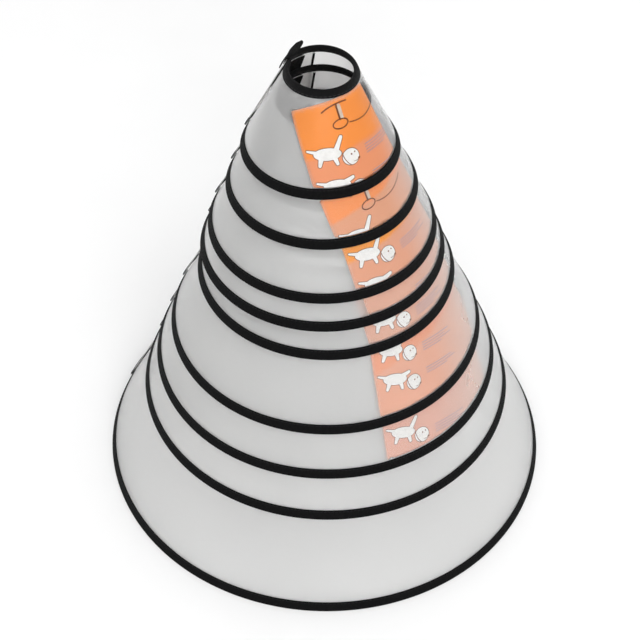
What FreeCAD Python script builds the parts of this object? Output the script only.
import FreeCAD, Part
import math
import os
import Sketcher
from FreeCAD import Placement, Rotation, Vector

# A nested set of nine elizabethan collars, stacked necks up, the smallest outermost
# on top and the largest standing on its rim.  Every collar is one flat sheet rolled
# into a cone whose straight ends overlap in a lap at the left of the stack.
# Azimuths are in degrees about +Z, with 0 along +X and 270 towards the front.

# Driving dimensions, in millimetres and degrees.
SIZES = {
    "half_angle": 25.5,
    "sheet_thickness": 0.4,
    "sewing_gap": 0.05,
    # The second half turn of every sheet is the same cone moved this far towards
    # the lap, so the sheet spirals outwards and its end lies over its beginning.
    "lap_shift": 1.1,
    "lap_azimuth": 160.0,
    "tongue_sweep": 60.0,
    "tongue_trim": 11.5,
    "rim_binding_width": 10.0,
    "rim_binding_ply": 0.45,
    "neck_binding_width": 8.2,
    "neck_binding_fold": 0.9,
    "neck_binding_outer": 0.8,
    "neck_binding_inner": 2.9,
    "throat_step": 1.8,
    "piping_width": 3.0,
    "piping_ply": 0.35,
    "piping_slot": 0.4,
    "piping_end_gap": 0.4,
    "tape_thickness": 0.45,
    "tape_height": 32.0,
    "tape_drop": 12.5,
    "tape_start": 115.0,
    "tape_sweep": 38.0,
    "card_thickness": 0.25,
    "card_gap": 0.15,
    "card_margin": 10.4,
    "card_end": 336.0,
    "slit_sweep": 1.2,
    "tab_length": 24.0,
    "tab_width": 8.0,
    "tab_tip_width": 3.0,
    "tab_tip_length": 9.0,
    "tab_thickness": 1.2,
    "tab_gap": 1.0,
    "tab_out": 0.6,
    "tab_azimuth": 152.0,
    "tab_lean": 8.0,
    "tab_twist": 50.0,
}

# Collar number: radius of the sheet at the rim, height of that edge above the floor,
# radius of the sheet at the neck, and how far the collar sits to the side of the last.
COLLARS = {
    1: (71.7, 408.5, 30.0, -9.5),
    2: (88.0, 363.5, 38.2, -7.5),
    3: (107.0, 314.2, 57.0, -6.5),
    4: (115.8, 286.7, 63.5, -6.0),
    5: (123.3, 256.5, 66.5, -2.0),
    6: (152.8, 185.0, 74.5, -1.5),
    7: (170.0, 139.7, 79.0, -1.0),
    8: (185.7, 95.9, 90.5, 0.0),
    9: (226.9, 0.5, 101.0, 0.0),
}

# Collars that hold an instruction card: azimuth of its left edge and its height.
CARDS = {
    1: (247.0, 72.0),
    2: (275.0, 94.0),
    3: (285.0, 95.0),
    4: (289.5, 100.0),
    5: (289.0, 110.0),
    6: (290.7, 110.0),
    7: (291.0, 110.0),
}

OPENING_COLLAR = 1

doc = FreeCAD.newDocument("NestedCollars")
sheet = doc.addObject("Spreadsheet::Sheet", "Sizes")


def fill_spreadsheet():
    """Write every driving dimension into a cell with an alias."""
    rows = dict(SIZES)
    for number, values in COLLARS.items():
        names = ("rim_radius", "rim_height", "neck_radius", "offset_x")
        for name, value in zip(names, values):
            rows[f"{name}_{number}"] = value
    for number, values in CARDS.items():
        for name, value in zip(("card_start", "card_height"), values):
            rows[f"{name}_{number}"] = value
    for row, (name, value) in enumerate(rows.items(), start=1):
        sheet.set(f"A{row}", name)
        sheet.set(f"B{row}", str(value))
        sheet.setAlias(f"B{row}", name)
    doc.recompute()


def cell(name):
    return float(sheet.get(name))


class Collar:
    """Expressions that place a point on one collar's cone.

    A point is given by its distance along the sheet from the rim or from the neck,
    and by how far it stands out from the middle of the sheet's thickness.
    """

    def __init__(self, number):
        self.number = number
        self.rim_radius = f"Sizes.rim_radius_{number}"
        self.neck_radius = f"Sizes.neck_radius_{number}"
        self.slant = f"(({self.rim_radius} - {self.neck_radius}) / sin(Sizes.half_angle))"

    def node(self, name):
        return f"collar_{self.number}_{name}"

    def from_rim(self, up, out):
        radius = f"{self.rim_radius} - ({up}) * sin(Sizes.half_angle) + ({out}) * cos(Sizes.half_angle)"
        height = f"({up}) * cos(Sizes.half_angle) + ({out}) * sin(Sizes.half_angle)"
        return radius, height

    def from_neck(self, down, out):
        return self.from_rim(f"{self.slant} - ({down})", out)

    def slant_length(self):
        difference = cell(f"rim_radius_{self.number}") - cell(f"neck_radius_{self.number}")
        return difference / math.sin(math.radians(cell("half_angle")))


SURFACE = "(Sizes.sheet_thickness / 2 + Sizes.sewing_gap)"


# Outlines are first drawn this large, then their expressions place them.
START_SIZE = 10.0


def origin_plane(body, role):
    return next(plane for plane in body.Origin.OriginFeatures if plane.Role == role)


def new_body(collar, label):
    """A body that stands on its collar's own axis, at the height of the collar's rim."""
    body = doc.addObject("PartDesign::Body", label)
    body.Label = label
    body.AllowCompound = True
    # The outer turn stands out towards the back, so the axis is off the stack's middle.
    half_step = "Sizes.lap_shift / 2"
    body.setExpression(
        "Placement.Base.x",
        f"Sizes.offset_x_{collar.number} - {half_step} * (1 + cos(Sizes.lap_azimuth))",
    )
    body.setExpression("Placement.Base.y", f"-{half_step} * (1 + sin(Sizes.lap_azimuth))")
    body.setExpression("Placement.Base.z", f"Sizes.rim_height_{collar.number}")
    return body


def draw_outline(sketch, corners):
    """Close a polygon whose corners are bound to pairs of expressions."""
    count = len(corners)
    starts = [Rotation(Vector(0, 0, 1), 360 * i / count).multVec(Vector(START_SIZE, 0, 0))
              for i in range(count)]
    for i in range(count):
        sketch.addGeometry(Part.LineSegment(starts[i], starts[(i + 1) % count]), False)
    for i in range(count):
        sketch.addConstraint(Sketcher.Constraint("Coincident", i, 2, (i + 1) % count, 1))
    for i, (across, up) in enumerate(corners):
        for kind, start, expression in (("DistanceX", starts[i].x, across), ("DistanceY", starts[i].y, up)):
            index = sketch.addConstraint(Sketcher.Constraint(kind, -1, 1, i, 1, start))
            sketch.setExpression(f"Constraints[{index}]", expression)


def revolve(body, name, corners, start, sweep, outer_turn=False):
    """Turn an outline about the collar's axis, or about the outer turn's own axis.

    start and sweep are expressions, in degrees of azimuth.
    """
    sketch = body.newObject("Sketcher::SketchObject", f"{name}_profile")
    sketch.AttachmentSupport = (origin_plane(body, "XZ_Plane"), "")
    sketch.MapMode = "FlatFace"
    sketch.AttachmentOffset = Placement(Vector(), Rotation(Vector(0, 1, 0), cell("lap_azimuth")))
    sketch.setExpression("AttachmentOffset.Rotation.Angle", start)
    if outer_turn:
        sketch.setExpression("AttachmentOffset.Base.x", "Sizes.lap_shift * cos(Sizes.lap_azimuth)")
        sketch.setExpression("AttachmentOffset.Base.z", "-Sizes.lap_shift * sin(Sizes.lap_azimuth)")
        corners = [(f"{radius} + Sizes.lap_shift", height) for radius, height in corners]
    draw_outline(sketch, corners)
    turned = body.newObject("PartDesign::Revolution", f"{name}_turn")
    turned.Profile = sketch
    turned.ReferenceAxis = (sketch, ["V_Axis"])
    turned.setExpression("Angle", sweep)


LAP = "Sizes.lap_azimuth"
FRONT_TURN = (LAP, "180")
BACK_TURN = (f"{LAP} + 180", "180")
# The tongue is the sheet's beginning, which runs on under the lap.
TONGUE = (f"{LAP} - Sizes.tongue_sweep", "Sizes.tongue_sweep")
# The opening collar bends at the far side of the lap: a slit there, and one where
# the lap ends, leave the back half free to swing out as the closing flap.
SLIT_FRONT_TURN = (LAP, "180 - Sizes.slit_sweep / 2")
SLIT_BACK_TURN = (f"{LAP} + 180 + Sizes.slit_sweep / 2", "180 - 1.5 * Sizes.slit_sweep")


def sheet_outline(collar, trim="0"):
    """The sheet's thickness, cut back from both of its bound edges by the trim."""
    half = "Sizes.sheet_thickness / 2"
    return [
        collar.from_rim(trim, f"-{half}"),
        collar.from_rim(trim, half),
        collar.from_neck(trim, half),
        collar.from_neck(trim, f"-{half}"),
    ]


def rim_binding_outline(collar, rests=False):
    """A folded tape round the sheet's lower edge, flattened where it rests."""
    gap = "Sizes.sewing_gap"
    ply = "Sizes.rim_binding_ply"
    out = f"({SURFACE} + {ply})"
    top = f"(Sizes.rim_binding_width - {gap} - {ply})"
    fold = f"-({gap} + {ply})"
    low_inner = collar.from_rim(fold, f"-{out}")
    low_outer = collar.from_rim(fold, out)
    bottom = [low_inner, low_outer]
    if rests:
        # Where the fold would pass below the floor it ends in a flat land.
        floor = f"-Sizes.rim_height_{collar.number}"
        angle = "Sizes.half_angle"
        sink = f"({floor} - ({low_inner[1]}))"
        bottom = [
            (f"{low_inner[0]} - {sink} * tan({angle})", floor),
            (f"{low_inner[0]} + {sink} / tan({angle})", floor),
            low_outer,
        ]
    return bottom + [
        collar.from_rim(top, out),
        collar.from_rim(top, SURFACE),
        collar.from_rim(f"-{gap}", SURFACE),
        collar.from_rim(f"-{gap}", f"-{SURFACE}"),
        collar.from_rim(top, f"-{SURFACE}"),
        collar.from_rim(top, f"-{out}"),
    ]


def neck_binding_outline(collar):
    """A padded tape over the sheet's upper edge, with a short straight throat."""
    gap = "Sizes.sewing_gap"
    fold = "(Sizes.neck_binding_fold)"
    low = f"(Sizes.neck_binding_width - {fold})"
    out = f"({SURFACE} + Sizes.neck_binding_outer)"
    inner = f"({SURFACE} + Sizes.neck_binding_inner)"
    throat = f"({collar.neck_radius} - Sizes.throat_step)"
    angle = "Sizes.half_angle"
    # The throat's upper and lower ends lie on the tape's top and inner faces.
    top_depth = f"((Sizes.throat_step - {fold} * sin({angle})) / cos({angle}))"
    low_drop = f"(({inner} * cos({angle}) - Sizes.throat_step) / sin({angle}))"
    return [
        collar.from_neck(low, f"-{inner}"),
        collar.from_neck(low, f"-{SURFACE}"),
        collar.from_neck(f"-{gap}", f"-{SURFACE}"),
        collar.from_neck(f"-{gap}", SURFACE),
        collar.from_neck(low, SURFACE),
        collar.from_neck(low, out),
        collar.from_neck(f"-{fold}", out),
        (throat, collar.from_neck(f"-{fold}", f"-{top_depth}")[1]),
        (throat, collar.from_neck(low_drop, f"-{inner}")[1]),
    ]


def patch_outline(collar, low, high, near, far):
    """A thin band on the cone, between two distances from the neck."""
    return [
        collar.from_neck(low, near),
        collar.from_neck(low, far),
        collar.from_neck(high, far),
        collar.from_neck(high, near),
    ]


def edge_piping(body, collar, name, azimuth, margin, outer_turn):
    """A straight folded tape over one straight end of the sheet, inside its margins.

    The tape's own axes: X out of the cone, Y around it and Z up the sheet.
    """
    angle = cell("half_angle")
    lift = cell(margin) + cell("piping_end_gap")
    shift = cell("lap_shift") if outer_turn else 0
    radius = cell(f"rim_radius_{collar.number}") + shift
    radius -= lift * math.sin(math.radians(angle))
    turn = Rotation(Vector(0, 0, 1), azimuth)
    centre = Rotation(Vector(0, 0, 1), cell("lap_azimuth")).multVec(Vector(shift, 0, 0))
    place = centre + turn.multVec(Vector(radius, 0, lift * math.cos(math.radians(angle))))
    sketch = body.newObject("Sketcher::SketchObject", f"{name}_profile")
    sketch.AttachmentSupport = (origin_plane(body, "XY_Plane"), "")
    sketch.MapMode = "FlatFace"
    sketch.AttachmentOffset = Placement(place, turn * Rotation(Vector(0, 1, 0), -angle))
    slot = "Sizes.piping_slot"
    side = f"({slot} + Sizes.piping_ply)"
    # The fold wraps the end that the sheet has there.
    away = "1" if outer_turn else "-1"
    fold = f"{away} * (Sizes.sewing_gap + Sizes.piping_ply)"
    bottom = f"{away} * Sizes.sewing_gap"
    mouth = f"{away} * (Sizes.sewing_gap + Sizes.piping_ply - Sizes.piping_width)"
    draw_outline(sketch, [
        (f"-{side}", mouth), (f"-{side}", fold), (side, fold), (side, mouth),
        (slot, mouth), (slot, bottom), (f"-{slot}", bottom), (f"-{slot}", mouth),
    ])
    pad = body.newObject("PartDesign::Pad", f"{name}_pad")
    pad.Profile = sketch
    pad.setExpression(
        "Length",
        f"{collar.slant} - 2 * (Sizes.{margin} + Sizes.piping_end_gap)",
    )


def tongue_piping(body, collar):
    azimuth = cell("lap_azimuth") - cell("tongue_sweep")
    edge_piping(body, collar, collar.node("tongue_edge"), azimuth, "tongue_trim", False)


def flap_piping(body, collar):
    azimuth = cell("lap_azimuth")
    if collar.number == OPENING_COLLAR:
        azimuth -= cell("slit_sweep")
    edge_piping(body, collar, collar.node("flap_edge"), azimuth, "rim_binding_width", True)


def loop_tape(body, collar):
    """The soft tape sewn on the tongue's outer face."""
    corners = patch_outline(
        collar,
        "Sizes.tape_drop + Sizes.tape_height", "Sizes.tape_drop",
        SURFACE, f"{SURFACE} + Sizes.tape_thickness",
    )
    revolve(body, collar.node("loop"), corners, "Sizes.tape_start", "Sizes.tape_sweep")


def hook_tape(body, collar):
    """The hooked tape sewn on the flap's inner face, over the loop tape."""
    corners = patch_outline(
        collar,
        "Sizes.tape_drop + Sizes.tape_height", "Sizes.tape_drop",
        f"-({SURFACE} + Sizes.tape_thickness)", f"-{SURFACE}",
    )
    start = "Sizes.tape_start + 360"
    revolve(body, collar.node("hook"), corners, start, "Sizes.tape_sweep", outer_turn=True)


def instruction_card(body, collar):
    """A printed card tucked against the sheet's inner face."""
    number = collar.number
    near = "(Sizes.sheet_thickness / 2 + Sizes.card_gap)"
    bottom = f"({collar.slant} - Sizes.card_margin)"
    corners = patch_outline(
        collar,
        bottom, f"{bottom} - Sizes.card_height_{number}",
        f"-({near} + Sizes.card_thickness)", f"-{near}",
    )
    start = f"Sizes.card_start_{number}"
    revolve(body, collar.node("card"), corners, start, f"Sizes.card_end - {start}")


def build_nested_collar(number):
    """A collar that stays closed: its sheet goes all the way round in one piece."""
    collar = Collar(number)
    cone = new_body(collar, collar.node("sheet"))
    revolve(cone, collar.node("front"), sheet_outline(collar), *FRONT_TURN)
    revolve(cone, collar.node("tongue"), sheet_outline(collar, "Sizes.tongue_trim"), *TONGUE)
    revolve(cone, collar.node("back"), sheet_outline(collar), *BACK_TURN, outer_turn=True)

    rests = number == max(COLLARS)
    rim = new_body(collar, collar.node("rim_binding"))
    outline = rim_binding_outline(collar, rests)
    revolve(rim, collar.node("rim_front"), outline, *FRONT_TURN)
    revolve(rim, collar.node("rim_back"), outline, *BACK_TURN, outer_turn=True)

    neck = new_body(collar, collar.node("neck_binding"))
    outline = neck_binding_outline(collar)
    revolve(neck, collar.node("neck_front"), outline, *FRONT_TURN)
    revolve(neck, collar.node("neck_back"), outline, *BACK_TURN, outer_turn=True)

    edges = new_body(collar, collar.node("edge_bindings"))
    tongue_piping(edges, collar)
    flap_piping(edges, collar)

    tapes = new_body(collar, collar.node("touch_tapes"))
    loop_tape(tapes, collar)
    hook_tape(tapes, collar)

    bodies = [cone, rim, neck, edges, tapes]
    if number in CARDS:
        card = new_body(collar, collar.node("instruction_card"))
        instruction_card(card, collar)
        bodies.append(card)
    return bodies


def pull_tab(collar):
    """A short pointed strap that stands up from the neck of the flap."""
    body = new_body(collar, collar.node("pull_tab"))
    angle = cell("half_angle")
    above = cell("neck_binding_fold") + cell("tab_gap")
    up = collar.slant_length() + above
    shift = cell("lap_shift")
    radius = cell(f"rim_radius_{collar.number}") + shift - up * math.sin(math.radians(angle))
    turn = Rotation(Vector(0, 0, 1), cell("tab_azimuth"))
    centre = Rotation(Vector(0, 0, 1), cell("lap_azimuth")).multVec(Vector(shift, 0, 0))
    place = centre + turn.multVec(Vector(radius, 0, up * math.cos(math.radians(angle))))
    slope = turn * Rotation(Vector(0, 1, 0), -angle)
    place += slope.multVec(Vector(cell("tab_out"), 0, 0))
    # The strap leans further inwards than the sheet does.
    lean = slope * Rotation(Vector(0, 1, 0), -cell("tab_lean"))
    # The sketch lies in the strap's middle plane: X across the strap and Y up it.
    # The strap is twisted about its own length, so its face turns to the front.
    upright = lean * Rotation(Vector(0, 0, 1), cell("tab_twist")) * Rotation(Vector(1, 1, 1), 120)
    sketch = body.newObject("Sketcher::SketchObject", "tab_profile")
    sketch.AttachmentSupport = (origin_plane(body, "XY_Plane"), "")
    sketch.MapMode = "FlatFace"
    sketch.AttachmentOffset = Placement(place, upright)
    half = "Sizes.tab_width / 2"
    tip = "Sizes.tab_tip_width / 2"
    shoulder = "Sizes.tab_length - Sizes.tab_tip_length"
    draw_outline(sketch, [
        (f"-{half}", "0"), (half, "0"), (half, shoulder),
        (tip, "Sizes.tab_length"), (f"-{tip}", "Sizes.tab_length"), (f"-{half}", shoulder),
    ])
    pad = body.newObject("PartDesign::Pad", "tab_pad")
    pad.Profile = sketch
    pad.Midplane = True
    pad.setExpression("Length", "Sizes.tab_thickness")
    return body


def build_opening_collar(number):
    """The collar on top: its back half is a flap that swings open."""
    collar = Collar(number)
    bodies = []

    def add(name):
        body = new_body(collar, collar.node(name))
        bodies.append(body)
        return body

    cone = add("sheet")
    revolve(cone, collar.node("front"), sheet_outline(collar), *SLIT_FRONT_TURN)
    revolve(cone, collar.node("tongue"), sheet_outline(collar, "Sizes.tongue_trim"), *TONGUE)
    flap = add("flap_sheet")
    revolve(flap, collar.node("back"), sheet_outline(collar), *SLIT_BACK_TURN, outer_turn=True)

    rim_outline = rim_binding_outline(collar)
    revolve(add("rim_binding"), collar.node("rim_front"), rim_outline, *SLIT_FRONT_TURN)
    revolve(add("flap_rim_binding"), collar.node("rim_back"), rim_outline, *SLIT_BACK_TURN, outer_turn=True)

    neck_outline = neck_binding_outline(collar)
    revolve(add("neck_binding"), collar.node("neck_front"), neck_outline, *SLIT_FRONT_TURN)
    revolve(add("flap_neck_binding"), collar.node("neck_back"), neck_outline, *SLIT_BACK_TURN,
            outer_turn=True)

    tongue_piping(add("tongue_edge_binding"), collar)
    flap_piping(add("flap_edge_binding"), collar)
    loop_tape(add("loop_tape"), collar)
    hook_tape(add("hook_tape"), collar)
    instruction_card(add("instruction_card"), collar)
    bodies.append(pull_tab(collar))
    return bodies


def check_document():
    for item in doc.Objects:
        failed = {"Invalid", "Error"}.intersection(item.State)
        if failed:
            raise RuntimeError(f"{item.Label} is {sorted(failed)}")


def write_parts(bodies):
    """Write each piece to its own file after checking its solids."""
    os.makedirs("parts", exist_ok=True)
    for body in bodies:
        shape = body.Shape
        if shape.isNull() or not shape.isValid() or not shape.Solids:
            raise RuntimeError(f"{body.Label} has no valid shape")
        box = shape.BoundBox
        print(
            f"{body.Label:32s} solids {len(shape.Solids)} volume {shape.Volume:10.1f}"
            f"  x {box.XMin:8.2f} {box.XMax:8.2f}  y {box.YMin:8.2f} {box.YMax:8.2f}"
            f"  z {box.ZMin:8.2f} {box.ZMax:8.2f}"
        )
        shape.exportStep(f"parts/{body.Label}.step")


def main():
    fill_spreadsheet()
    bodies = []
    for number in COLLARS:
        build = build_opening_collar if number == OPENING_COLLAR else build_nested_collar
        bodies += build(number)
    doc.recompute()
    check_document()
    write_parts(bodies)


main()
